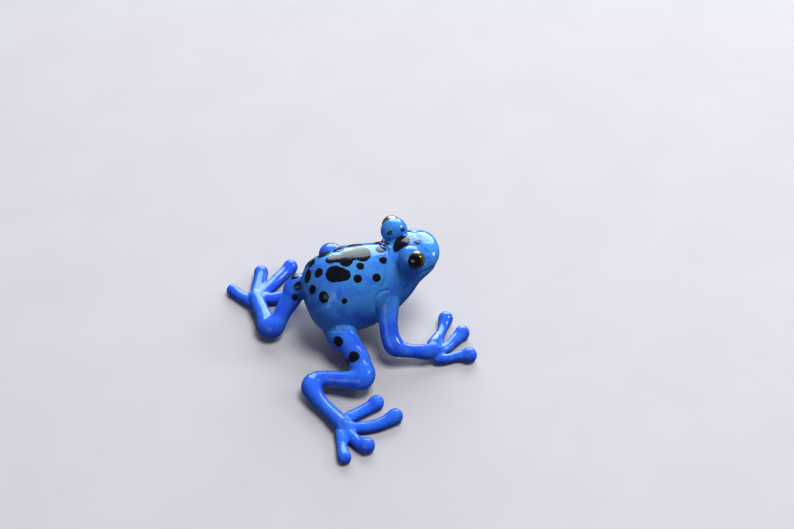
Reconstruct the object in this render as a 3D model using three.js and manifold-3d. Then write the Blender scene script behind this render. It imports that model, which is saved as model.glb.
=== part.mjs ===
// A palm-sized glass frog, lampworked in blue glass with black dots melted into its back.
// The frog stands on its four feet with the head raised and the legs spread, as in a slow walk.
// Millimetres, +Z up. The frog looks along -Y, and its left side is at +X.
import * as THREE from "three";
import { mergeVertices } from "three/addons/utils/BufferGeometryUtils.js";
import Module from "manifold-3d";

const wasm = await Module();
wasm.setup();

// Driving sizes
const GAP = 0.28; // clear space between two pieces that meet
const BODY_SIDES = 28;
const BODY_STEPS = 22;
const ROD_SIDES = 14;
const TOE_SIDES = 10;
const CAP_STEPS = 3;
const STEPS_PER_KNOT = 1.5; // rings along a rod between two knots
const MIN_STEPS = 5;
const BEAD_SIDES = 16;
const TOE_PLACES = 60; // places tried along a toe for its cut

// A place on the frog: to its left, forward of its middle, and up from the table
const at = (left, forward, up) => new THREE.Vector3(left, -forward, up);

// The body, from the rump to the snout: where the back and the belly run, and the half width between them
const BODY_STATIONS = [
  { back: [-6.3, 8.0], belly: [-6.3, 7.4], halfWidth: 0.3 },
  { back: [-6.0, 9.7], belly: [-6.1, 5.1], halfWidth: 3.1 },
  { back: [-3.9, 12.2], belly: [-4.6, 2.2], halfWidth: 5.4 },
  { back: [0.0, 13.3], belly: [0.2, 0.9], halfWidth: 6.1 },
  { back: [3.4, 13.2], belly: [4.9, 1.9], halfWidth: 5.6 },
  { back: [6.4, 13.0], belly: [8.6, 4.8], halfWidth: 4.6 },
  { back: [8.8, 13.8], belly: [10.2, 7.6], halfWidth: 4.4 },
  { back: [11.5, 13.7], belly: [12.0, 9.3], halfWidth: 3.8 },
  { back: [13.3, 13.0], belly: [13.0, 10.8], halfWidth: 2.4 },
  { back: [13.7, 12.0], belly: [13.7, 11.7], halfWidth: 0.3 },
];
const NECK = { forward: 7.3, up: 9.0, pitch: THREE.MathUtils.degToRad(22) };

// The eyes: domes of blue glass on the head, each with a dark golden bead let into its outer side
const EYES = {
  right: { dome: at(-3.25, 8.6, 13.5), radius: 1.84, gaze: at(-0.89, 0.34, 0.29) },
  left: { dome: at(3.3, 8.2, 13.3), radius: 1.95, gaze: at(0.93, -0.08, 0.35) },
};
const BEAD = { radius: 1.43, offset: 0.95 };

// Black glass dots: how far along the body from rump to snout (0 to 1), degrees from the back over the
// right side, and half the length along the body and half the width
const DOTS = [
  { along: 0.42, turn: 0, size: [1.5, 1.1] },
  { along: 0.345, turn: -3, size: [1.5, 1.3] },
  { along: 0.28, turn: -10, size: [1.3, 1.1] },
  { along: 0.28, turn: 22, size: [1.75, 1.4] },
  { along: 0.285, turn: -46, size: [1.7, 1.2] },
  { along: 0.42, turn: -40, size: [1.0, 0.8] },
  { along: 0.2, turn: 48, size: [0.8, 0.85] },
  { along: 0.435, turn: 42, size: [0.75, 0.75] },
  { along: 0.645, turn: -4, size: [1.1, 1.3] },
];
const DOT = { joined: 3, thickness: 1.1, sunk: 0.35, sides: 14 }; // the first three run together into one

// The limbs and toes are drawn glass rods. Each row is a knot that the rod runs through: to the left,
// forward, up, and its radius there. A limb is parted at its knots number `joints`, a toe where it is
// `root` away from the middle of the palm.
const WRIST = 1.7; // how far before its last knot a limb is parted from its palm
const PALM = { radius: 1.3, height: 0.85 }; // the palm is a ball pressed a little flat
const LEGS = {
  right: {
    joints: [5, 11],
    rod: [
      [-3.4, -2.4, 3.9, 2.4],
      [-6.0, -2.4, 3.6, 2.15],
      [-7.9, -1.9, 3.5, 1.66],
      [-9.7, -1.6, 3.3, 1.62],
      [-11.5, -1.6, 3.0, 1.62],
      [-13.6, -2.0, 2.6, 1.64],
      [-13.3, -3.4, 2.45, 1.28],
      [-12.9, -4.3, 2.35, 1.14],
      [-12.2, -5.6, 2.25, 1.07],
      [-11.6, -6.9, 2.1, 1.08],
      [-11.5, -8.1, 1.95, 1.28],
      [-12.2, -9.0, 1.8, 1.45],
      [-13.4, -9.0, 1.6, 1.27],
      [-14.6, -8.8, 1.5, 1.09],
      [-16.0, -8.3, 1.4, 1.0],
      [-17.4, -7.8, 1.35, 1.02],
      [-18.8, -7.3, 1.3, 1.14],
      [-20.1, -6.9, 1.3, 1.22],
    ],
    palm: at(-20.4, -6.6, 1.15),
    toes: [
      {
        root: 3.0,
        rod: [
          [-19.0, -6.0, 0.95, 0.87],
          [-18.6, -4.7, 0.95, 0.79],
          [-18.2, -3.3, 0.93, 0.82],
          [-17.8, -2.2, 0.92, 0.86],
          [-17.3, -1.1, 0.97, 1.07],
        ],
      },
      {
        root: 3.0,
        rod: [
          [-20.6, -6.2, 0.9, 0.77],
          [-21.0, -4.9, 0.85, 0.76],
          [-21.3, -2.5, 0.82, 0.82],
          [-21.1, -1.0, 0.86, 0.88],
          [-20.6, 0.6, 0.97, 1.08],
        ],
      },
      {
        root: 3.1,
        rod: [
          [-21.2, -6.6, 0.9, 0.8],
          [-22.6, -6.1, 0.86, 0.79],
          [-23.8, -5.6, 0.86, 0.83],
          [-24.7, -4.8, 1.0, 1.11],
        ],
      },
      {
        root: 3.1,
        rod: [
          [-20.9, -7.4, 0.9, 0.81],
          [-22.5, -7.7, 0.82, 0.78],
          [-24.0, -8.1, 0.78, 0.74],
          [-25.7, -8.3, 0.8, 0.91],
        ],
      },
    ],
  },
  left: {
    joints: [2, 6],
    rod: [
      [2.4, -2.6, 5.4, 2.4],
      [3.8, -4.6, 5.4, 1.9],
      [4.5, -6.2, 5.4, 1.74],
      [3.4, -7.5, 4.3, 1.42],
      [2.6, -8.7, 3.4, 1.25],
      [1.8, -9.8, 2.5, 1.26],
      [1.1, -11.3, 1.7, 1.57],
      [3.8, -11.5, 1.6, 1.2],
      [6.6, -11.6, 1.5, 1.13],
      [8.1, -11.6, 1.45, 1.17],
    ],
    palm: at(8.6, -11.5, 1.2),
    toes: [
      {
        root: 2.7,
        rod: [
          [8.3, -10.7, 1.0, 0.86],
          [7.9, -9.3, 0.9, 0.86],
          [7.9, -7.4, 0.85, 0.86],
          [7.8, -5.6, 0.91, 1.02],
        ],
      },
      {
        root: 4.1,
        rod: [
          [9.2, -10.4, 1.0, 0.83],
          [10.4, -8.9, 0.9, 0.86],
          [11.9, -7.1, 0.87, 0.9],
          [13.0, -5.7, 0.88, 0.92],
          [13.7, -4.8, 0.97, 1.07],
        ],
      },
      {
        root: 4.1,
        rod: [
          [9.7, -11.1, 1.0, 0.92],
          [11.6, -10.3, 0.92, 0.95],
          [13.1, -9.6, 0.9, 0.98],
          [13.9, -9.3, 0.93, 1.04],
        ],
      },
      {
        root: 2.7,
        rod: [
          [8.0, -12.3, 1.0, 0.88],
          [9.2, -13.0, 0.85, 0.81],
          [10.6, -13.8, 0.76, 0.79],
          [11.6, -14.3, 0.78, 0.87],
        ],
      },
    ],
  },
};
const ARMS = {
  right: {
    joints: [6],
    rod: [
      [-3.6, 4.6, 8.2, 1.6],
      [-4.4, 4.7, 7.3, 1.66],
      [-5.3, 4.5, 6.3, 1.5],
      [-6.3, 4.2, 5.4, 1.36],
      [-7.3, 4.0, 4.4, 1.29],
      [-8.3, 4.0, 3.4, 1.36],
      [-9.1, 4.3, 2.75, 1.4],
      [-9.7, 5.1, 2.45, 1.14],
      [-10.0, 6.0, 2.2, 0.99],
      [-10.3, 7.1, 2.0, 0.97],
      [-10.6, 8.3, 1.8, 1.1],
      [-10.5, 9.6, 1.6, 1.3],
    ],
    palm: at(-10.3, 9.9, 1.35),
    toes: [
      {
        root: 3.2,
        rod: [
          [-9.1, 10.5, 1.25, 0.85],
          [-7.3, 11.7, 0.95, 0.69],
          [-5.6, 12.8, 0.78, 0.71],
          [-4.1, 13.7, 0.93, 1.04],
        ],
      },
      {
        root: 3.2,
        rod: [
          [-10.4, 10.7, 1.0, 0.72],
          [-9.8, 11.9, 0.85, 0.71],
          [-8.9, 13.2, 0.8, 0.8],
          [-8.2, 14.2, 0.84, 0.87],
          [-7.7, 15.0, 0.95, 1.06],
        ],
      },
      {
        root: 3.0,
        rod: [
          [-11.6, 10.0, 0.95, 0.76],
          [-11.9, 11.3, 0.78, 0.66],
          [-11.8, 12.5, 0.76, 0.67],
          [-12.0, 13.4, 0.8, 0.75],
          [-12.35, 14.45, 0.97, 1.08],
        ],
      },
    ],
  },
  left: {
    joints: [3],
    rod: [
      [3.6, 4.3, 8.4, 1.6],
      [5.2, 3.2, 7.2, 1.5],
      [6.7, 1.5, 6.9, 1.5],
      [7.8, -0.1, 7.2, 1.72],
      [8.9, 1.3, 5.7, 1.2],
      [9.9, 2.9, 4.0, 1.05],
      [10.8, 4.4, 2.4, 1.05],
      [11.2, 5.4, 1.6, 1.25],
    ],
    palm: at(11.4, 5.7, 1.25),
    toes: [
      {
        root: 2.9,
        rod: [
          [11.1, 6.4, 1.1, 0.8],
          [11.0, 8.0, 0.85, 0.7],
          [10.7, 9.6, 0.78, 0.74],
          [10.4, 11.2, 0.92, 1.02],
        ],
      },
      {
        root: 2.7,
        rod: [
          [11.9, 6.3, 1.1, 0.75],
          [12.6, 7.4, 0.85, 0.76],
          [13.2, 8.6, 0.82, 0.86],
          [13.6, 9.6, 0.93, 1.04],
        ],
      },
      {
        root: 1.8,
        rod: [
          [12.1, 5.2, 1.1, 0.8],
          [12.9, 5.0, 0.9, 0.72],
          [13.6, 4.9, 0.85, 0.8],
          [14.2, 4.8, 0.88, 0.99],
        ],
      },
    ],
  },
};

// A closed geometry from rings of vertices between two poles
function ringsToGeometry(rings, startPole, endPole) {
  const sides = rings[0].length;
  const positions = [startPole, ...rings.flat(), endPole].flatMap((p) => p.toArray());
  const last = rings.length * sides + 1;
  const faces = [];
  for (let j = 0; j < sides; j++) {
    const k = (j + 1) % sides;
    faces.push(0, 1 + k, 1 + j);
    for (let i = 0; i < rings.length - 1; i++) {
      const low = 1 + i * sides;
      const high = low + sides;
      faces.push(low + j, low + k, high + k, low + j, high + k, high + j);
    }
    const top = last - sides;
    faces.push(top + j, top + k, last);
  }
  const geometry = new THREE.BufferGeometry();
  geometry.setAttribute("position", new THREE.Float32BufferAttribute(positions, 3));
  geometry.setIndex(faces);
  return geometry;
}

function toSolid(geometry) {
  const bare = geometry.clone();
  bare.deleteAttribute("normal");
  bare.deleteAttribute("uv");
  const merged = mergeVertices(bare, 1e-4);
  return new wasm.Manifold(
    new wasm.Mesh({
      numProp: 3,
      vertProperties: merged.attributes.position.array,
      triVerts: new Uint32Array(merged.index.array),
    }),
  );
}

function toGeometry(solid) {
  const { vertProperties, triVerts } = solid.getMesh();
  const geometry = new THREE.BufferGeometry();
  geometry.setAttribute("position", new THREE.BufferAttribute(vertProperties, 3));
  geometry.setIndex(new THREE.BufferAttribute(triVerts, 1));
  geometry.computeVertexNormals();
  return geometry;
}

// The largest closed piece of a solid, without any scrap that a cut left loose
const largest = (solid) => solid.decompose().sort((a, b) => b.volume() - a.volume())[0];

// The side of a plane that its normal points to
const keepBeyond = (solid, normal, point, gap) =>
  solid.trimByPlane(normal.toArray(), normal.dot(point) + gap / 2);
const keepBefore = (solid, normal, point, gap) =>
  solid.trimByPlane(normal.clone().negate().toArray(), -normal.dot(point) + gap / 2);

const knotPoint = ([left, forward, up]) => at(left, forward, up);
const pathThrough = (knots) => new THREE.CatmullRomCurve3(knots.map(knotPoint), false, "centripetal");

// A rod of drawn glass through its knots, with round ends
function rod(knots, sides = ROD_SIDES) {
  const path = pathThrough(knots);
  const girth = new THREE.SplineCurve(knots.map((knot, i) => new THREE.Vector2(i, knot[3])));
  const steps = Math.max(MIN_STEPS, Math.round(STEPS_PER_KNOT * (knots.length - 1)));
  const { tangents, normals, binormals } = path.computeFrenetFrames(steps, false);
  const ring = (centre, i, radius) =>
    Array.from({ length: sides }, (_, j) => {
      const angle = (2 * Math.PI * j) / sides;
      return centre
        .clone()
        .addScaledVector(normals[i], radius * Math.cos(angle))
        .addScaledVector(binormals[i], radius * Math.sin(angle));
    });
  const cap = (i, radius, way) =>
    Array.from({ length: CAP_STEPS - 1 }, (_, n) => {
      const tilt = ((n + 1) / CAP_STEPS) * (Math.PI / 2);
      const centre = path.getPointAt(i / steps).addScaledVector(tangents[i], way * radius * Math.sin(tilt));
      return ring(centre, i, radius * Math.cos(tilt));
    });
  const middle = Array.from({ length: steps + 1 }, (_, i) =>
    ring(path.getPointAt(i / steps), i, girth.getPoint(path.getUtoTmapping(i / steps)).y),
  );
  const [first, last] = [knots[0], knots[knots.length - 1]];
  const rings = [...cap(0, first[3], -1).reverse(), ...middle, ...cap(steps, last[3], 1)];
  return toSolid(
    ringsToGeometry(
      rings,
      knotPoint(first).addScaledVector(tangents[0], -first[3]),
      knotPoint(last).addScaledVector(tangents[steps], last[3]),
    ),
  );
}

function ball(centre, radius, sides = BEAD_SIDES) {
  const geometry = new THREE.SphereGeometry(radius, sides, sides / 2);
  return toSolid(geometry.translate(centre.x, centre.y, centre.z));
}

// The body's surface: how far along it from rump to snout (0 to 1), and the angle from the back over
// the right side
const backCurve = pathThrough(BODY_STATIONS.map(({ back }) => [0, ...back]));
const bellyCurve = pathThrough(BODY_STATIONS.map(({ belly }) => [0, ...belly]));
const widthCurve = new THREE.SplineCurve(
  BODY_STATIONS.map(({ halfWidth }, i) => new THREE.Vector2(i, halfWidth)),
);
function bodyPoint(along, angle, grow = 0) {
  const back = backCurve.getPoint(along);
  const belly = bellyCurve.getPoint(along);
  const centre = back.clone().add(belly).divideScalar(2);
  const rise = back.clone().sub(belly).divideScalar(2);
  const halfHeight = rise.length();
  return centre
    .addScaledVector(rise, (Math.cos(angle) * (halfHeight + grow)) / halfHeight)
    .add(at(-(widthCurve.getPoint(along).y + grow) * Math.sin(angle), 0, 0));
}

function body(grow) {
  const rings = Array.from({ length: BODY_STEPS + 1 }, (_, i) =>
    Array.from({ length: BODY_SIDES }, (_, j) =>
      bodyPoint(i / BODY_STEPS, (2 * Math.PI * j) / BODY_SIDES, grow),
    ),
  );
  const ends = [BODY_STATIONS[0], BODY_STATIONS[BODY_STATIONS.length - 1]];
  const [rump, snout] = ends.map(({ back, belly }, i) =>
    at(0, back[0] + (2 * i - 1) * (0.05 + grow), (back[1] + belly[1]) / 2),
  );
  return toSolid(ringsToGeometry(rings, rump, snout));
}

const COLOURS = {
  body: { color: 0x3f86e0, roughness: 0.08, metalness: 0 },
  limb: { color: 0x1f55d6, roughness: 0.08, metalness: 0 },
  bead: { color: 0x4a4414, roughness: 0.05, metalness: 0.2 },
  dot: { color: 0x0a0a12, roughness: 0.08, metalness: 0 },
};

const frog = new THREE.Group();
function add(name, solid, finish) {
  const mesh = new THREE.Mesh(toGeometry(largest(solid)), new THREE.MeshStandardMaterial(COLOURS[finish]));
  mesh.name = name;
  frog.add(mesh);
}

// A dot: a lens of black glass sunk in the body, with a low crown left standing
function dot({ along, turn, size }, grow) {
  const angle = THREE.MathUtils.degToRad(turn);
  const place = bodyPoint(along, angle);
  const ahead = bodyPoint(along + 0.01, angle).sub(place).normalize();
  const across = bodyPoint(along, angle + 0.05).sub(place);
  const out = across.clone().cross(ahead).normalize();
  across.copy(ahead).cross(out);
  const [long, wide] = size.map((half) => half + grow);
  const geometry = new THREE.SphereGeometry(1, DOT.sides, DOT.sides / 2);
  geometry.rotateX(Math.PI / 2).scale(long, wide, DOT.thickness / 2 + grow);
  place.addScaledVector(out, -DOT.sunk);
  geometry.applyMatrix4(new THREE.Matrix4().makeBasis(ahead, across.negate(), out).setPosition(place));
  return toSolid(geometry);
}

const joined = (grow) => DOTS.slice(0, DOT.joined).map((spot) => dot(spot, grow));
const dotSets = (grow) => [
  joined(grow).reduce((a, b) => a.add(b)),
  ...DOTS.slice(DOT.joined).map((spot) => dot(spot, grow)),
];
dotSets(0).forEach((solid, i) => add(`dot_${i + 1}`, solid, "dot"));

// Torso and head, one body parted at the neck, with pockets for the dots
const whole = dotSets(GAP).reduce((solid, pocket) => solid.subtract(pocket), body(0));
const grown = body(GAP);
const neckWay = at(0, Math.cos(NECK.pitch), Math.sin(NECK.pitch));
const neckPoint = at(0, NECK.forward, NECK.up);
add("torso", keepBefore(whole, neckWay, neckPoint, GAP), "body");
add("head", keepBeyond(whole, neckWay, neckPoint, GAP), "body");

// Eyes
for (const [side, { dome, radius, gaze }] of Object.entries(EYES)) {
  const bead = dome.clone().addScaledVector(gaze.clone().normalize(), BEAD.offset);
  const socket = ball(bead, BEAD.radius + GAP);
  add(`eye_dome_${side}`, ball(dome, radius).subtract(grown).subtract(socket), "body");
  add(`eye_${side}`, ball(bead, BEAD.radius).subtract(grown), "bead");
}

// Which way a rod runs from one knot to the next
const wayBetween = (from, to) => knotPoint(to).sub(knotPoint(from)).normalize();

// A limb parted at its bends, each by the plane that halves the bend
function partedLimb(knots, joints) {
  const stretches = [0, ...joints].map((start, i) => knots.slice(start, (joints[i] ?? knots.length - 1) + 1));
  const pieces = stretches.map((stretch) => rod(stretch).subtract(grown));
  joints.forEach((joint, i) => {
    const [before, bend, after] = knots.slice(joint - 1, joint + 2);
    const way = wayBetween(before, bend).add(wayBetween(bend, after)).normalize();
    pieces[i] = keepBefore(pieces[i], way, knotPoint(bend), GAP);
    pieces[i + 1] = keepBeyond(pieces[i + 1], way, knotPoint(bend), GAP);
  });
  return pieces;
}

// Where a toe is parted from its palm: the place on its path that is `root` away from the palm's middle
function toeCut(knots, palm, root) {
  const path = pathThrough(knots);
  const places = path.getSpacedPoints(TOE_PLACES);
  const i = places.findIndex((place) => place.distanceTo(palm) > root);
  return { point: places[i], way: path.getTangentAt(i / TOE_PLACES) };
}

// A limb with its palm and toes: the roots of the toes stay joined to the palm
function addLimb(side, names, pawName, toeName, { joints, rod: knots, palm, toes }) {
  const pieces = partedLimb(knots, joints);
  const lastPiece = pieces.pop();
  let paw = ball(at(0, 0, 0), PALM.radius)
    .scale([1, 1, PALM.height])
    .translate(palm.toArray())
    .add(lastPiece);
  toes.forEach((toe, i) => {
    const cut = toeCut(toe.rod, palm, toe.root);
    const toeRod = rod(toe.rod, TOE_SIDES);
    paw = paw.add(keepBefore(toeRod, cut.way, cut.point, GAP));
    const tip = keepBeyond(toeRod, cut.way, cut.point, GAP);
    add(`${toeName}_${side}_${i + 1}`, tip.trimByPlane([0, 0, 1], 0), "limb");
  });
  const [before, end] = knots.slice(-2);
  const way = wayBetween(before, end);
  const wrist = knotPoint(end).addScaledVector(way, -WRIST);
  add(`${pawName}_${side}`, keepBeyond(paw, way, wrist, GAP).trimByPlane([0, 0, 1], 0), "limb");
  [...pieces, keepBefore(lastPiece, way, wrist, GAP)].forEach((piece, i) => {
    add(`${names[i]}_${side}`, piece, "limb");
  });
}

for (const side of ["right", "left"]) {
  addLimb(side, ["thigh", "shank", "tarsus"], "foot", "toe", LEGS[side]);
  addLimb(side, ["upper_arm", "forearm"], "hand", "finger", ARMS[side]);
}

// The frog is moved so that the origin is under the middle of its box, on the table
const box = new THREE.Box3().setFromObject(frog);
const middle = box.getCenter(new THREE.Vector3());
frog.position.set(-middle.x, -middle.y, -box.min.z);

export default frog;
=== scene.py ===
import math

import bpy
import numpy as np
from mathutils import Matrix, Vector


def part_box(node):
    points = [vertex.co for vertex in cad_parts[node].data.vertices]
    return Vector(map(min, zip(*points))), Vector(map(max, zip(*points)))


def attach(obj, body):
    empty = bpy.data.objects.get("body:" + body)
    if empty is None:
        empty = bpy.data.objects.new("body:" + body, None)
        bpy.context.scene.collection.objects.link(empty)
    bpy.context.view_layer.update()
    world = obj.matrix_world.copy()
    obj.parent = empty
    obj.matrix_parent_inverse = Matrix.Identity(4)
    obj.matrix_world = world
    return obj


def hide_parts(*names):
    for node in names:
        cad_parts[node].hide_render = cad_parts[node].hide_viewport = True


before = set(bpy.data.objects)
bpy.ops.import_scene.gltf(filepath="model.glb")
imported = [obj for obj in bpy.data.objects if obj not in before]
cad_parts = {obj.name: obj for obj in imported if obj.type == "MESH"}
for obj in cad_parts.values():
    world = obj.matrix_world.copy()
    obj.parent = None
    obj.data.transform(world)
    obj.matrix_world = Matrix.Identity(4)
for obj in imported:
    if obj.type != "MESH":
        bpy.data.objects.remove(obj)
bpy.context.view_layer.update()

# The body and head: one gather of light blue glass, left plump at the rump, drawn in at the neck
# and pressed broad and round at the snout. It is shaped hot as a single lump, before anything is added.
MM = 0.001                                                        # a millimetre, in metres
middle = (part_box("torso")[0][0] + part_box("torso")[1][0]) / 2      # the frog's own mid-plane, along X
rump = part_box("torso")[1][1]                                      # its hindmost point, along Y
RUMP_FORWARD = -6.35                                              # where that point is on the frog, in mm


def at(left, forward, up):
    """A place on the frog in millimetres: to its left, forward of its middle, up from the table."""
    return Vector((middle + left * MM, rump - (forward - RUMP_FORWARD) * MM, up * MM))


def start_fresh():
    """Leaves edit mode and deselects everything."""
    if bpy.context.object and bpy.context.object.mode != "OBJECT":
        bpy.ops.object.mode_set(mode="OBJECT")
    bpy.ops.object.select_all(action="DESELECT")


def finish_modifier(piece, kind, **settings):
    """Adds one modifier to a piece and applies it at once."""
    start_fresh()
    piece.select_set(True)
    bpy.context.view_layer.objects.active = piece
    modifier = piece.modifiers.new(kind.title(), kind)
    for name, value in settings.items():
        setattr(modifier, name, value)
    bpy.ops.object.modifier_apply(modifier=modifier.name)


def join(pieces, name):
    start_fresh()
    for piece in pieces:
        piece.select_set(True)
    bpy.context.view_layer.objects.active = pieces[0]
    bpy.ops.object.join()
    pieces[0].name = name
    return pieces[0]


# Rump to snout: forward and up of the back, the same of the belly, and the half width between them
BODY = (
    ((-6.3, 8.0), (-6.3, 7.4), 0.3),
    ((-6.0, 9.7), (-6.1, 5.1), 3.1),
    ((-3.9, 12.2), (-4.6, 2.2), 5.4),
    ((0.0, 13.3), (0.2, 0.9), 6.05),
    ((3.4, 13.2), (4.9, 1.9), 5.6),
    ((6.4, 13.0), (8.6, 4.8), 4.6),
    ((8.8, 13.8), (10.2, 7.6), 4.4),
    ((11.5, 13.7), (12.0, 9.3), 3.8),
    ((13.3, 13.0), (13.0, 10.8), 2.4),
    ((13.7, 12.0), (13.7, 11.7), 0.3),
)
RINGS_BETWEEN = 5    # more rings between each two of these stations
RING_SIDES = 48


def smooth_run(values, cuts):
    """Values along a smooth curve through the given ones, with cuts + 1 steps between each two."""
    values = np.array(values, float)
    ends = np.vstack([2 * values[0] - values[1], values, 2 * values[-1] - values[-2]])
    run = []
    for a, b, c, d in zip(ends, ends[1:], ends[2:], ends[3:]):
        for t in np.arange(cuts + 1) / (cuts + 1):
            run.append(0.5 * (2 * b + (c - a) * t + (2 * a - 5 * b + 4 * c - d) * t**2
                              + (3 * b - a - 3 * c + d) * t**3))
    run.append(values[-1])
    return np.array(run)


def gather(stations):
    """The lump of glass: a ring at each station, bridged from one to the next and closed at both ends."""
    start_fresh()
    rows = [(*back, *belly, half_width) for back, belly, half_width in stations]
    bpy.ops.mesh.primitive_circle_add(vertices=RING_SIDES, radius=MM, location=(0, 0, 0))
    lump = bpy.context.object
    bpy.ops.object.mode_set(mode="EDIT")
    bpy.ops.mesh.delete(type="VERT")
    for back_f, back_u, belly_f, belly_u, half_width in smooth_run(rows, RINGS_BETWEEN):
        half_height = math.hypot(back_f - belly_f, back_u - belly_u) / 2
        centre = at(0, (back_f + belly_f) / 2, (back_u + belly_u) / 2)
        bpy.ops.mesh.primitive_circle_add(
            vertices=RING_SIDES, radius=MM, location=centre, rotation=(math.pi / 2, 0, 0))
        bpy.ops.transform.resize(value=(half_width, 1, half_height), center_override=centre)
        lean = math.atan2(back_f - belly_f, back_u - belly_u)
        bpy.ops.transform.rotate(      # with no window this turns the other way, hence the minus
            value=-lean, orient_axis="X", center_override=centre)
    bpy.ops.mesh.select_all(action="SELECT")
    bpy.ops.mesh.bridge_edge_loops()
    bpy.ops.mesh.select_all(action="DESELECT")
    bpy.ops.mesh.select_non_manifold()
    bpy.ops.mesh.edge_face_add()
    bpy.ops.mesh.select_all(action="SELECT")
    bpy.ops.mesh.normals_make_consistent(inside=False)
    bpy.ops.object.mode_set(mode="OBJECT")
    bpy.ops.object.transform_apply(location=True, rotation=True, scale=True)
    return lump


body = gather(BODY)


# The eye domes: two small gathers of the same light blue glass, dropped hot on the top corners of the
# head, so that they stand as near half balls with a fine valley where they meet it.
EYES = {
    # the middle and the radius of the dome, and which way out of it the bead is let in
    "right": {"dome": (-3.25, 8.6, 13.5), "radius": 1.84, "gaze": (-0.89, 0.34, 0.29)},
    "left": {"dome": (3.3, 8.2, 13.3), "radius": 1.95, "gaze": (0.93, -0.08, 0.35)},
}


def ball(place, radius, squash=(1, 1, 1)):
    """A round blob of glass, here given in its sizes to the left, forward and up."""
    start_fresh()
    bpy.ops.mesh.primitive_uv_sphere_add(
        segments=32, ring_count=20, radius=radius * MM, location=at(*place), scale=squash)
    bpy.ops.object.transform_apply(location=True, rotation=True, scale=True)
    return bpy.context.object


domes = [ball(eye["dome"], eye["radius"]) for eye in EYES.values()]


# The legs and arms: rods of the same glass, drawn out thin in the flame and bent soft at each joint, then
# pressed to the body. Each runs from inside the body to the palm, and swells a little at its joints.
ROD_PLUMP = 0.05     # what the smoothing takes off a thin rod, put back here
ROD_STEPS = 8        # rings from one knot to the next
ROD_ROUND = 6        # how finely the rod is rounded


def drawn_rod(knots):
    """A rod of glass through a run of knots: left, forward, up and radius, with a round end at each."""
    start_fresh()
    bpy.ops.curve.primitive_bezier_curve_add(location=(0, 0, 0))
    rod = bpy.context.object
    spline = rod.data.splines[0]
    spline.bezier_points.add(len(knots) - 2)
    for point, (left, forward, up, radius) in zip(spline.bezier_points, knots):
        point.co = at(left, forward, up)
        point.radius = radius + ROD_PLUMP
        point.handle_left_type = point.handle_right_type = "AUTO"
    spline.radius_interpolation = "CARDINAL"
    spline.resolution_u = ROD_STEPS
    rod.data.bevel_depth = MM
    rod.data.bevel_resolution = ROD_ROUND
    rod.data.use_fill_caps = True
    bpy.ops.object.convert(target="MESH")
    rod = bpy.context.object
    return [rod] + [ball(knots[end][:3], knots[end][3] + ROD_PLUMP) for end in (0, -1)]


LIMBS = {
    "right_leg": (
        (-3.4, -2.4, 3.9, 2.4), (-6.0, -2.4, 3.6, 2.15), (-7.9, -1.9, 3.5, 1.66),
        (-9.7, -1.6, 3.3, 1.62), (-11.5, -1.6, 3.0, 1.62), (-13.6, -2.0, 2.6, 1.64),
        (-13.3, -3.4, 2.45, 1.28), (-12.9, -4.3, 2.35, 1.14), (-12.2, -5.6, 2.25, 1.07),
        (-11.6, -6.9, 2.1, 1.08), (-11.5, -8.1, 1.95, 1.28), (-12.2, -9.0, 1.8, 1.45),
        (-13.4, -9.0, 1.6, 1.27), (-14.6, -8.8, 1.5, 1.09), (-16.0, -8.3, 1.4, 1.0),
        (-17.4, -7.8, 1.35, 1.02), (-18.8, -7.3, 1.3, 1.14), (-20.1, -6.9, 1.3, 1.22),
    ),
    "left_leg": (
        (2.4, -2.6, 5.4, 2.4), (3.8, -4.6, 5.4, 1.9), (4.5, -6.2, 5.4, 1.74),
        (3.4, -7.5, 4.3, 1.42), (2.6, -8.7, 3.4, 1.25), (1.8, -9.8, 2.5, 1.26),
        (1.1, -11.3, 1.7, 1.57), (3.8, -11.5, 1.6, 1.2), (6.6, -11.6, 1.5, 1.13), (8.1, -11.6, 1.45, 1.17),
    ),
    "right_arm": (
        (-3.6, 4.6, 8.2, 1.6), (-4.4, 4.7, 7.3, 1.66), (-5.3, 4.5, 6.3, 1.5), (-6.3, 4.2, 5.4, 1.36),
        (-7.3, 4.0, 4.4, 1.29), (-8.3, 4.0, 3.4, 1.36), (-9.1, 4.3, 2.75, 1.4),
        (-9.7, 5.1, 2.45, 1.14), (-10.0, 6.0, 2.2, 0.99), (-10.3, 7.1, 2.0, 0.97),
        (-10.6, 8.3, 1.8, 1.1), (-10.5, 9.6, 1.6, 1.3),
    ),
    "left_arm": (
        (3.6, 4.3, 8.4, 1.6), (5.2, 3.2, 7.2, 1.5), (6.7, 1.5, 6.9, 1.5), (7.8, -0.1, 7.2, 1.72),
        (8.9, 1.3, 5.7, 1.2), (9.9, 2.9, 4.0, 1.05), (10.8, 4.4, 2.4, 1.05), (11.2, 5.4, 1.6, 1.25),
    ),
}
limbs = [piece for knots in LIMBS.values() for piece in drawn_rod(knots)]


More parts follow.
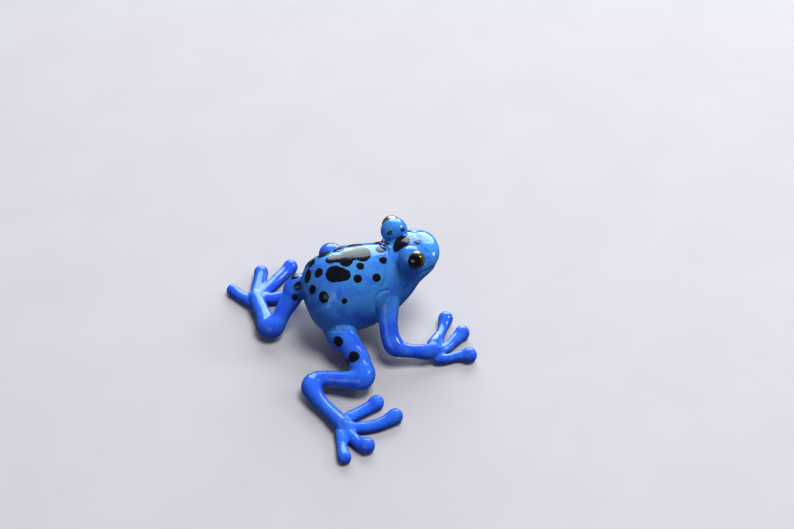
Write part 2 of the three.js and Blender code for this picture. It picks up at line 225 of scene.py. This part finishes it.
# The toes: thin canes of the same glass, laid out from the end of each limb. The tip of each is left in
# the flame until it runs back into a ball, and the ball sags to a small flat where the frog stands.
TOES = {
    "right_foot": (
        ((-19.0, -6.0, 0.95, 0.87), (-18.6, -4.7, 0.95, 0.79), (-18.2, -3.3, 0.93, 0.82),
         (-17.8, -2.2, 0.92, 0.86), (-17.3, -1.1, 0.97, 1.07)),
        ((-20.6, -6.2, 0.9, 0.77), (-21.0, -4.9, 0.85, 0.76), (-21.3, -2.5, 0.82, 0.82),
         (-21.1, -1.0, 0.86, 0.88), (-20.6, 0.6, 0.97, 1.08)),
        ((-21.2, -6.6, 0.9, 0.8), (-22.6, -6.1, 0.86, 0.79), (-23.8, -5.6, 0.86, 0.83),
         (-24.7, -4.8, 1.0, 1.11)),
        ((-20.9, -7.4, 0.9, 0.81), (-22.5, -7.7, 0.82, 0.78), (-24.0, -8.1, 0.78, 0.74),
         (-25.7, -8.3, 0.8, 0.91)),
    ),
    "right_hand": (
        ((-9.1, 10.5, 1.25, 0.85), (-7.3, 11.7, 0.95, 0.69), (-5.6, 12.8, 0.78, 0.71),
         (-4.1, 13.7, 0.93, 1.04)),
        ((-10.4, 10.7, 1.0, 0.72), (-9.8, 11.9, 0.85, 0.71), (-8.9, 13.2, 0.8, 0.8),
         (-8.2, 14.2, 0.84, 0.87), (-7.7, 15.0, 0.95, 1.06)),
        ((-11.6, 10.0, 0.95, 0.76), (-11.9, 11.3, 0.78, 0.66), (-11.8, 12.5, 0.76, 0.67),
         (-12.0, 13.4, 0.8, 0.75), (-12.35, 14.45, 0.97, 1.08)),
        ((-9.9, 9.5, 1.6, 0.93), (-8.5, 10.6, 1.4, 0.79), (-7.3, 11.4, 1.25, 0.5)),
    ),
    "left_foot": (
        ((8.3, -10.7, 1.0, 0.86), (7.9, -9.3, 0.9, 0.86), (7.9, -7.4, 0.85, 0.86),
         (7.8, -5.6, 0.91, 1.02)),
        ((9.2, -10.4, 1.0, 0.83), (10.4, -8.9, 0.9, 0.86), (11.9, -7.1, 0.87, 0.9),
         (13.0, -5.7, 0.88, 0.92), (13.7, -4.8, 0.97, 1.07)),
        ((9.7, -11.1, 1.0, 0.92), (11.6, -10.3, 0.92, 0.95), (13.1, -9.6, 0.9, 0.98),
         (13.9, -9.3, 0.93, 1.04)),
        ((8.0, -12.3, 1.0, 0.88), (9.2, -13.0, 0.85, 0.81), (10.6, -13.8, 0.76, 0.79),
         (11.6, -14.3, 0.78, 0.87)),
    ),
    "left_hand": (
        ((11.1, 6.4, 1.1, 0.8), (11.0, 8.0, 0.85, 0.7), (10.7, 9.6, 0.78, 0.74), (10.4, 11.2, 0.92, 1.02)),
        ((11.9, 6.3, 1.1, 0.75), (12.6, 7.4, 0.85, 0.76), (13.2, 8.6, 0.82, 0.86), (13.6, 9.6, 0.93, 1.04)),
        ((12.1, 5.2, 1.1, 0.8), (12.9, 5.0, 0.9, 0.72), (13.6, 4.9, 0.85, 0.8), (14.2, 4.8, 0.88, 0.99)),
    ),
}
PALMS = (
    # middle, radius, and how far each is flattened: to the left, forward and up
    ((-20.4, -6.6, 1.15), 1.3, (1.15, 1.0, 0.85)),
    ((-10.3, 9.9, 1.35), 1.35, (1.15, 1.0, 0.85)),
    ((8.6, -11.5, 1.2), 1.3, (1.0, 1.1, 0.85)),
    ((11.4, 5.7, 1.25), 1.25, (1.0, 1.0, 0.9)),
)
toes = [piece for canes in TOES.values() for cane in canes for piece in drawn_rod(cane)]
toes += [ball(*palm) for palm in PALMS]


# The fused frog: body, domes, limbs and toes are melted together in the flame until no seam is left.
# The surface tension of the hot glass rounds every inner corner a little.
FINENESS = 0.17      # how finely the fused surface is built, in mm
SMOOTHING = 6        # rounds of smoothing
TOUCH = 0.001        # how near to the table a point counts as on it, in mm


def copy_of(piece):
    twin = piece.copy()
    twin.data = piece.data.copy()
    bpy.context.collection.objects.link(twin)
    return twin


lumps = {
    "body": copy_of(body),
    "domes": join([copy_of(piece) for piece in domes], "dome_lump"),
    "limbs": join([copy_of(piece) for piece in limbs], "limb_lump"),
    "toes": join([copy_of(piece) for piece in toes], "toe_lump"),
}
skin = join([body, *domes, *limbs, *toes], "glass_frog")
finish_modifier(skin, "REMESH", mode="VOXEL", voxel_size=FINENESS * MM, adaptivity=0.0)
finish_modifier(skin, "SMOOTH", factor=0.5, iterations=SMOOTHING)
start_fresh()
skin.select_set(True)
bpy.context.view_layer.objects.active = skin
bpy.ops.object.mode_set(mode="EDIT")
bpy.ops.mesh.select_all(action="SELECT")
bpy.ops.mesh.bisect(
    plane_co=(0, 0, 0), plane_no=(0, 0, -1), clear_outer=True, use_fill=True, threshold=TOUCH * MM)
bpy.ops.object.mode_set(mode="OBJECT")


# The tooled lines: where one gather meets the next a fine valley is left, and the neck, the mouth and the
# nostrils are pressed in with the edge of a hot tool. All are shallow, with soft lips.
def read_points(piece, what="co"):
    """The place of each point of a piece, or its normal, as rows of three."""
    values = np.empty(len(piece.data.vertices) * 3)
    piece.data.vertices.foreach_get(what, values)
    return values.reshape(-1, 3)


def push_in(piece, depths):
    """Pushes each point of a piece in by its own depth in mm, but never through the table."""
    points = read_points(piece) / MM - read_points(piece, "normal") * depths[:, None]
    points[:, 2] = np.maximum(points[:, 2], 0)
    piece.data.vertices.foreach_set("co", (points * MM).ravel())
    piece.data.update()


LINE_CUTS = 3        # more points between each two places of a tooled line


def press(piece, places, depth, width):
    """Presses a line into the glass along a run of places, all in mm."""
    points = read_points(piece) / MM
    on_skin = [Vector(piece.closest_point_on_mesh(at(*place))[1]) / MM for place in places]
    path = smooth_run(on_skin, LINE_CUTS)
    nearest = np.full(len(points), np.inf)
    for start, end in zip(path, path[1:]):
        along = end - start
        share = np.clip((points - start) @ along / (along @ along), 0, 1)
        nearest = np.minimum(nearest, np.linalg.norm(points - start - share[:, None] * along, axis=1))
    push_in(piece, depth * np.exp(-(nearest / width) ** 2))


def away_from(lump):
    """How far each point of the skin is from one of the gathers that it was fused from, in mm."""
    return np.array([(lump.closest_point_on_mesh(vertex.co)[1] - vertex.co).length / MM
                     for vertex in skin.data.vertices])


VALLEY_DEPTH = 0.16  # in mm, as all of these are
VALLEY_WIDTH = 0.30
away = {name: away_from(lump) for name, lump in lumps.items()}
valleys = [np.exp(-(away[one]**2 + away[other]**2) / VALLEY_WIDTH**2)
           for one, other in (("body", "domes"), ("limbs", "toes"))]
push_in(skin, VALLEY_DEPTH * sum(valleys))

LINES = (
    # the run of the line over the skin, its depth and width, and whether the left side has it too
    # across the neck, and round the mouth
    (((-4.7, 3.9, 10.5), (-4.1, 4.5, 11.2), (-3.3, 5.0, 11.9), (-2.5, 5.4, 12.4), (-1.5, 5.8, 12.8),
      (0.0, 6.1, 13.0), (1.5, 5.8, 12.8), (2.5, 5.4, 12.4), (3.3, 5.0, 11.9), (4.7, 3.9, 10.5)),
     0.24, 0.24, False),
    (((-4.6, 7.2, 9.2), (-4.5, 8.2, 9.4), (-4.4, 9.0, 10.1), (-4.2, 9.9, 11.1), (-3.6, 11.4, 11.3),
      (-2.2, 12.9, 11.2), (0.0, 13.7, 11.2), (2.2, 12.9, 11.2), (3.6, 11.4, 11.3), (4.2, 9.9, 11.1),
      (4.4, 9.0, 10.1), (4.5, 8.2, 9.4), (4.6, 7.2, 9.2)),
     0.16, 0.26, False),
    # behind the snout, and the nostril
    (((-0.5, 10.8, 13.8), (-1.6, 10.7, 13.6), (-2.5, 10.8, 13.2)), 0.10, 0.35, True),
    (((-2.2, 11.1, 13.4), (-2.5, 11.3, 13.2)), 0.16, 0.28, True),
    # round the shoulder
    (((-5.0, 4.6, 9.95), (-5.1, 3.7, 10.0), (-5.3, 3.0, 9.7), (-5.55, 2.6, 9.1), (-5.85, 2.5, 7.9),
      (-5.8, 2.8, 6.4), (-5.7, 2.9, 5.3)),
     0.22, 0.24, True),
    # round the root of the right thigh, and across the right forearm
    (((-4.2, -4.8, 4.2), (-5.4, -4.2, 5.2), (-6.1, -3.4, 5.6), (-6.5, -2.6, 5.6), (-7.0, -1.7, 5.4),
      (-7.2, -0.9, 4.9)),
     0.20, 0.24, False),
    (((-9.65, 5.4, 3.6), (-10.3, 5.1, 3.4), (-10.6, 5.0, 3.2), (-10.8, 4.8, 2.2)), 0.07, 0.16, False),
    # two soft dents in the right flank
    (((-2.6, -6.2, 6.9), (-3.9, -5.4, 8.6), (-4.4, -4.5, 9.6)), 0.14, 0.45, False),
    (((-3.9, -3.5, 11.0), (-4.9, -3.5, 9.7), (-5.6, -3.0, 8.5), (-5.9, -1.7, 6.8)), 0.08, 0.5, False),
)
for places, depth, width, mirrored in LINES:
    press(skin, places, depth, width)
    if mirrored:
        press(skin, [(-left, forward, up) for left, forward, up in places], depth, width)
bpy.ops.object.shade_smooth()

# The skin stands for every blue solid, and the dots and the beads are pieces of their own
FLESH = [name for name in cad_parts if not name.startswith(("dot_", "eye_left", "eye_right"))]
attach(skin, "root")
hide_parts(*FLESH)

# The limbs are of a deeper blue cane than the body, and the two colours run together where they meet
CANE_START = 0.2     # how far out of the body the cane's colour starts to show, in mm
CANE_BLEND = 1.6     # and over what length it takes over
cane_share = skin.data.attributes.new("cane", "FLOAT", "POINT")
from_gathers = np.minimum(away["body"], away["domes"])
cane_share.data.foreach_set("value", np.clip((from_gathers - CANE_START) / CANE_BLEND, 0, 1))
for lump in lumps.values():
    bpy.data.objects.remove(lump)


def nodes_of(material):
    """A material's node tree with its Principled shader, and a short way to add and link nodes."""
    material.use_nodes = True
    tree = material.node_tree
    shader = tree.nodes["Principled BSDF"]

    def add(kind, inputs=None, **settings):
        node = tree.nodes.new(kind)
        for name, value in settings.items():
            setattr(node, name, value)
        for socket, value in (inputs or {}).items():
            if isinstance(value, bpy.types.NodeSocket):
                tree.links.new(value, node.inputs[socket])
            else:
                node.inputs[socket].default_value = value
        return node

    return tree, shader, add


def colour_steps(node, steps):
    """Sets the stops of a colour ramp: a list of place and colour."""
    ramp = node.color_ramp
    while len(ramp.elements) > 1:
        ramp.elements.remove(ramp.elements[0])
    ramp.elements[0].position, ramp.elements[0].color = steps[0][0], (*steps[0][1], 1)
    for place, colour in steps[1:]:
        ramp.elements.new(place).color = (*colour, 1)
    return node.outputs["Color"]


SKY_BLUE = (0.072, 0.270, 0.62)
MID_BLUE = (0.036, 0.150, 0.60)
CANE_LIGHT = (0.064, 0.245, 0.76)
CANE_DEEP = (0.026, 0.092, 0.66)
STREAK_SHARE = 0.35  # how much of the fine streaks is stirred into the broad swirls
GLASS_IOR = 1.5

blue_glass = bpy.data.materials.new("blue_glass")
tree, shader, add = nodes_of(blue_glass)
place = add("ShaderNodeTexCoord").outputs["Object"]
swirl = add("ShaderNodeTexNoise", {"Vector": place, "Scale": 230.0, "Detail": 3.0, "Distortion": 1.2})
streak = add("ShaderNodeTexNoise", {"Vector": place, "Scale": 800.0, "Detail": 2.0, "Distortion": 2.0})
stir = add("ShaderNodeMath", {0: streak.outputs["Fac"], 1: STREAK_SHARE, 2: swirl.outputs["Fac"]},
           operation="MULTIPLY_ADD")
gathers = colour_steps(add("ShaderNodeValToRGB", {"Fac": stir.outputs[0]}),
                       ((0.45, MID_BLUE), (0.72, SKY_BLUE)))
canes = colour_steps(add("ShaderNodeValToRGB", {"Fac": stir.outputs[0]}),
                     ((0.38, CANE_DEEP), (0.95, CANE_LIGHT)))
cane = add("ShaderNodeAttribute", attribute_name="cane")
mix = add("ShaderNodeMix", {0: cane.outputs["Fac"], 6: gathers, 7: canes}, data_type="RGBA")
tree.links.new(mix.outputs[2], shader.inputs["Base Color"])
ripple = add("ShaderNodeBump", {"Height": swirl.outputs["Fac"], "Strength": 0.08, "Distance": 0.0002})
tree.links.new(ripple.outputs["Normal"], shader.inputs["Normal"])
shader.inputs["Roughness"].default_value = 0.09
shader.inputs["IOR"].default_value = GLASS_IOR
shader.inputs["Subsurface Weight"].default_value = 0.5
shader.inputs["Subsurface Radius"].default_value = (0.05, 0.14, 1.0)
shader.inputs["Subsurface Scale"].default_value = 0.0014
skin.data.materials.clear()
skin.data.materials.append(blue_glass)


# The black dots: drops of black glass touched on to the hot body, where each spreads to a low round cap.
# Drops set close together have run into one.
DOTS = (
    # middle of the drop on the frog, half its length and width, and its turn in degrees
    ((0.13, 2.35, 13.3), (1.32, 1.70), -10),
    ((0.17, 1.05, 13.3), (0.80, 1.20), 0),
    ((-0.20, -0.10, 13.3), (1.12, 1.60), -15),
    ((0.28, -1.07, 13.1), (0.75, 0.85), 0),
    ((0.69, -1.92, 12.9), (1.04, 0.92), -18),
    ((-1.95, -2.35, 12.5), (1.35, 1.42), -19),
    ((-2.30, -1.75, 12.5), (1.25, 1.22), -19),
    ((-2.60, -1.10, 12.4), (0.95, 0.95), -13),
    ((0.46, 5.28, 13.0), (0.80, 0.80), 0),
    ((-1.67, 5.01, 12.8), (0.66, 0.67), 0),
    ((-2.07, 1.44, 13.0), (0.60, 0.63), 0),
    ((-3.58, 0.57, 12.1), (0.65, 0.65), 0),
    ((-3.79, 3.29, 11.7), (0.66, 0.65), 0),
    ((-0.45, -4.26, 11.9), (0.76, 0.82), -32),
    ((0.98, -5.52, 10.4), (0.90, 1.15), -30),
    ((-1.67, -5.61, 10.1), (0.78, 0.72), -23),
    ((-3.78, -4.55, 10.2), (0.84, 0.89), -20),
    ((-5.18, -1.91, 9.9), (0.44, 0.44), 0),
    ((2.90, -2.40, 12.0), (1.10, 0.90), -11),
    ((2.45, -0.40, 12.7), (0.90, 0.75), -20),
    ((2.85, 2.00, 12.5), (1.10, 0.95), 0),
    ((2.70, 5.35, 12.3), (0.95, 0.90), -12),
    ((2.50, -4.30, 11.1), (0.80, 0.85), 0),
    ((4.30, 0.60, 11.6), (0.65, 0.65), 0),
    ((4.60, 3.40, 11.0), (0.60, 0.62), 0),
    ((4.35, -2.20, 11.0), (0.80, 0.70), 20),
    ((3.90, -4.50, 9.8), (0.80, 0.85), 20),
    ((5.40, -0.90, 9.7), (0.45, 0.45), 0),
    ((0.29, 8.36, 13.7), (1.25, 1.40), -35),
    ((-0.19, 7.51, 13.3), (0.63, 0.95), -20),
    ((1.45, 6.40, 12.9), (0.48, 0.42), 0),
    ((1.95, 7.10, 14.3), (0.50, 0.30), 20),
    ((-0.60, 10.38, 13.8), (0.52, 0.42), -40),
    ((1.94, 9.07, 14.4), (0.42, 0.28), 8),
    ((2.66, 10.18, 13.3), (0.46, 0.32), -10),
    ((-7.49, -3.66, 4.6), (0.88, 0.80), -27),
    ((-11.0, -2.44, 4.5), (1.02, 0.92), -30),
    ((-10.5, -3.20, 3.2), (0.60, 0.55), 0),
    ((4.83, -6.40, 7.1), (0.62, 0.55), -9),
    ((3.30, -6.38, 6.7), (0.80, 0.58), 40),
    ((2.45, -7.16, 5.4), (0.50, 0.54), -20),
)
DOT_LIP = 0.02       # how proud of the body a dot stands at its rounded rim, in mm
DOT_RISE = 0.06      # and how much more in its middle
DOT_ROOT = 0.30      # how deep it is melted in
DOT_FINENESS = 0.07  # how finely the dots are built
AHEAD = Vector((0, -1, 0))


def glass_dot(place, half, turn):
    """A round cap that follows the skin under it: a flattened ball, each point set over the skin."""
    _, middle_point, out, _ = skin.closest_point_on_mesh(at(*place))
    ahead = AHEAD - out * out.dot(AHEAD)
    ahead.normalize()
    across = out.cross(ahead)
    start_fresh()
    bpy.ops.mesh.primitive_uv_sphere_add(segments=40, ring_count=20, radius=1)
    dot = bpy.context.object
    angle = math.radians(turn)
    for vertex in dot.data.vertices:
        u, v, w = vertex.co
        u, v = u * half[0] * MM, v * half[1] * MM
        u, v = u * math.cos(angle) - v * math.sin(angle), u * math.sin(angle) + v * math.cos(angle)
        _, foot, normal, _ = skin.closest_point_on_mesh(middle_point + ahead * u + across * v)
        lift = DOT_LIP + (DOT_RISE * math.sqrt(w) if w > 0 else DOT_ROOT * w)
        vertex.co = foot + normal * lift * MM
    return dot


dots = join([glass_dot(*dot) for dot in DOTS], "glass_dots")
finish_modifier(dots, "REMESH", mode="VOXEL", voxel_size=DOT_FINENESS * MM, adaptivity=0.0)
finish_modifier(dots, "SMOOTH", factor=0.5, iterations=SMOOTHING)
bpy.ops.object.shade_smooth()
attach(dots, "root")
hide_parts(*[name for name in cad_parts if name.startswith("dot_")])

JET = (0.003, 0.004, 0.009)
JET_CLOUD = (0.010, 0.011, 0.020)
black_glass = bpy.data.materials.new("black_glass")
tree, shader, add = nodes_of(black_glass)
place = add("ShaderNodeTexCoord").outputs["Object"]
cloud = add("ShaderNodeTexNoise", {"Vector": place, "Scale": 700.0, "Detail": 3.0})
black = colour_steps(add("ShaderNodeValToRGB", {"Fac": cloud.outputs["Fac"]}),
                     ((0.3, JET), (0.7, JET_CLOUD)))
tree.links.new(black, shader.inputs["Base Color"])
shader.inputs["Roughness"].default_value = 0.16
shader.inputs["IOR"].default_value = GLASS_IOR
dots.data.materials.clear()
dots.data.materials.append(black_glass)


# The eyes: a bead of clear amber glass over a black pupil, pressed into the outer side of each dome.
BEAD_RADIUS = 1.43
BEAD_OUT = 0.95      # from the middle of the dome to the middle of the bead that is let into it
OLIVE = (0.035, 0.033, 0.008)
AMBER = (0.12, 0.11, 0.025)
PUPIL = (0.003, 0.003, 0.003)
FLECK_SHARE = 0.14   # how much the edge of the pupil wavers
PUPIL_LOOK = {"right": (-0.78, -0.38, 0.44), "left": (0.90, 0.10, 0.30)}
for side, eye in EYES.items():
    centre = Vector(eye["dome"]) + Vector(eye["gaze"]).normalized() * BEAD_OUT
    start_fresh()
    bpy.ops.mesh.primitive_uv_sphere_add(
        segments=64, ring_count=48, radius=BEAD_RADIUS * MM, location=at(*centre))
    bead = bpy.context.object
    bpy.ops.object.transform_apply(location=True, rotation=True, scale=True)
    bpy.ops.object.shade_smooth()
    bead.name = f"glass_eye_{side}"
    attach(bead, "root")
    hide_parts(f"eye_{side}")

    eye_glass = bpy.data.materials.new(f"eye_glass_{side}")
    tree, shader, add = nodes_of(eye_glass)
    left, forward, up = Vector(PUPIL_LOOK[side]).normalized()
    place = add("ShaderNodeTexCoord").outputs["Object"]
    from_middle = add("ShaderNodeVectorMath", {0: place, 1: at(*centre)}, operation="SUBTRACT")
    outward = add("ShaderNodeVectorMath", {0: from_middle.outputs[0]}, operation="NORMALIZE")
    facing = add("ShaderNodeVectorMath", {0: outward.outputs[0], 1: (left, -forward, up)},
                 operation="DOT_PRODUCT")
    fleck = add("ShaderNodeTexNoise", {"Vector": place, "Scale": 1500.0, "Detail": 3.0})
    wobble = add("ShaderNodeMath", {0: fleck.outputs["Fac"], 1: FLECK_SHARE, 2: facing.outputs["Value"]},
                 operation="MULTIPLY_ADD")
    iris = colour_steps(add("ShaderNodeValToRGB", {"Fac": wobble.outputs[0]}),
                        ((0.0, OLIVE), (0.5, AMBER), (0.76, OLIVE), (0.84, PUPIL)))
    tree.links.new(iris, shader.inputs["Base Color"])
    shader.inputs["Roughness"].default_value = 0.06
    shader.inputs["IOR"].default_value = GLASS_IOR
    shader.inputs["Coat Weight"].default_value = 1.0
    shader.inputs["Coat Roughness"].default_value = 0.03
    bead.data.materials.append(eye_glass)


# The table and the light: a plain pale surface, a wide soft light off the frog's left that glances off
# the glass, a small one ahead for the sparks, a weak one behind, and a soft one overhead. The glass
# neither mirrors the table nor gets light back from it, so that its undersides stay a deep blue.
PAPER = (0.438, 0.418, 0.438)
PAPER_GRAIN = (0.452, 0.432, 0.452)
bpy.ops.mesh.primitive_plane_add(size=3.0, location=(0, 0, 0))
table = bpy.context.object
table.name = "table_top"
paper = bpy.data.materials.new("pale_paper")
tree, shader, add = nodes_of(paper)
place = add("ShaderNodeTexCoord").outputs["Object"]
grain = add("ShaderNodeTexNoise", {"Vector": place, "Scale": 90.0, "Detail": 6.0})
pale = colour_steps(add("ShaderNodeValToRGB", {"Fac": grain.outputs["Fac"]}),
                    ((0.3, PAPER), (0.7, PAPER_GRAIN)))
tree.links.new(pale, shader.inputs["Base Color"])
shader.inputs["Roughness"].default_value = 0.9
shader.inputs["Specular IOR Level"].default_value = 0.2
table.data.materials.append(paper)
table.visible_diffuse = table.visible_glossy = False

LIGHTS = (
    # place in metres, width and height, watts, colour, and whether the glass mirrors it
    ((0.46, -0.20, 0.25), (0.62, 0.56), 5.2, (0.87, 0.95, 1.0), True),
    ((-0.06, -0.45, 0.30), (0.11, 0.11), 0.60, (0.95, 0.98, 1.0), True),
    ((-0.30, 0.34, 0.20), (0.40, 0.30), 0.5, (0.82, 0.90, 1.0), True),
    ((-0.04, -0.16, 0.60), (0.30, 0.30), 4.0, (0.98, 1.0, 0.97), False),
)
for spot, size, watts, colour, mirrored in LIGHTS:
    bpy.ops.object.light_add(type="AREA", location=spot)
    lamp = bpy.context.object
    lamp.rotation_euler = (-Vector(spot)).to_track_quat("-Z", "Y").to_euler()
    lamp.data.shape = "ELLIPSE"
    lamp.data.size, lamp.data.size_y = size
    lamp.data.energy = watts
    lamp.data.color = colour
    lamp.visible_glossy = mirrored
ROOM_COLOUR = (0.58, 0.60, 1.0)
ROOM_STRENGTH = 0.13
world = bpy.data.worlds.new("soft_room")
bpy.context.scene.world = world
world.use_nodes = True
room = world.node_tree.nodes["Background"]
room.inputs["Color"].default_value = (*ROOM_COLOUR, 1)
room.inputs["Strength"].default_value = ROOM_STRENGTH


# The camera: a long lens from the frog's right and a little behind it, looking down on the table.
AZIMUTH = math.radians(-108.0)
HEIGHT_ANGLE = math.radians(42.0)    # over the table
DISTANCE = 0.300                     # from the aim, in metres
FOCAL_PIXELS = 2070.0                # the length of the lens, in pixels of the picture
PHOTO_SIZE = (794, 529)
AIM = (-3.6, -1.2, 0.0)              # a spot on the table under the frog: left, forward and up, in mm
AIM_PIXEL = (347.1, 342.9)           # where that spot is in the picture, across and down
SENSOR_WIDTH = 36.0                  # in mm
PICTURE_GAMMA = 0.86                 # deepens the middle tones a little
back = Vector((math.sin(AZIMUTH) * math.cos(HEIGHT_ANGLE),
               -math.cos(AZIMUTH) * math.cos(HEIGHT_ANGLE), math.sin(HEIGHT_ANGLE)))
turn = back.to_track_quat("Z", "Y")
right, above = turn @ Vector((1, 0, 0)), turn @ Vector((0, 1, 0))
across = (AIM_PIXEL[0] - PHOTO_SIZE[0] / 2) * DISTANCE / FOCAL_PIXELS
rise = -(AIM_PIXEL[1] - PHOTO_SIZE[1] / 2) * DISTANCE / FOCAL_PIXELS
bpy.ops.object.camera_add(location=at(*AIM) - right * across - above * rise + back * DISTANCE)
camera = bpy.context.object
camera.rotation_euler = turn.to_euler()
camera.data.sensor_width = SENSOR_WIDTH
camera.data.lens = FOCAL_PIXELS * SENSOR_WIDTH / PHOTO_SIZE[0]
camera.data.clip_start = 0.01
bpy.context.scene.camera = camera
bpy.context.scene.view_settings.view_transform = "Standard"
bpy.context.scene.view_settings.gamma = PICTURE_GAMMA
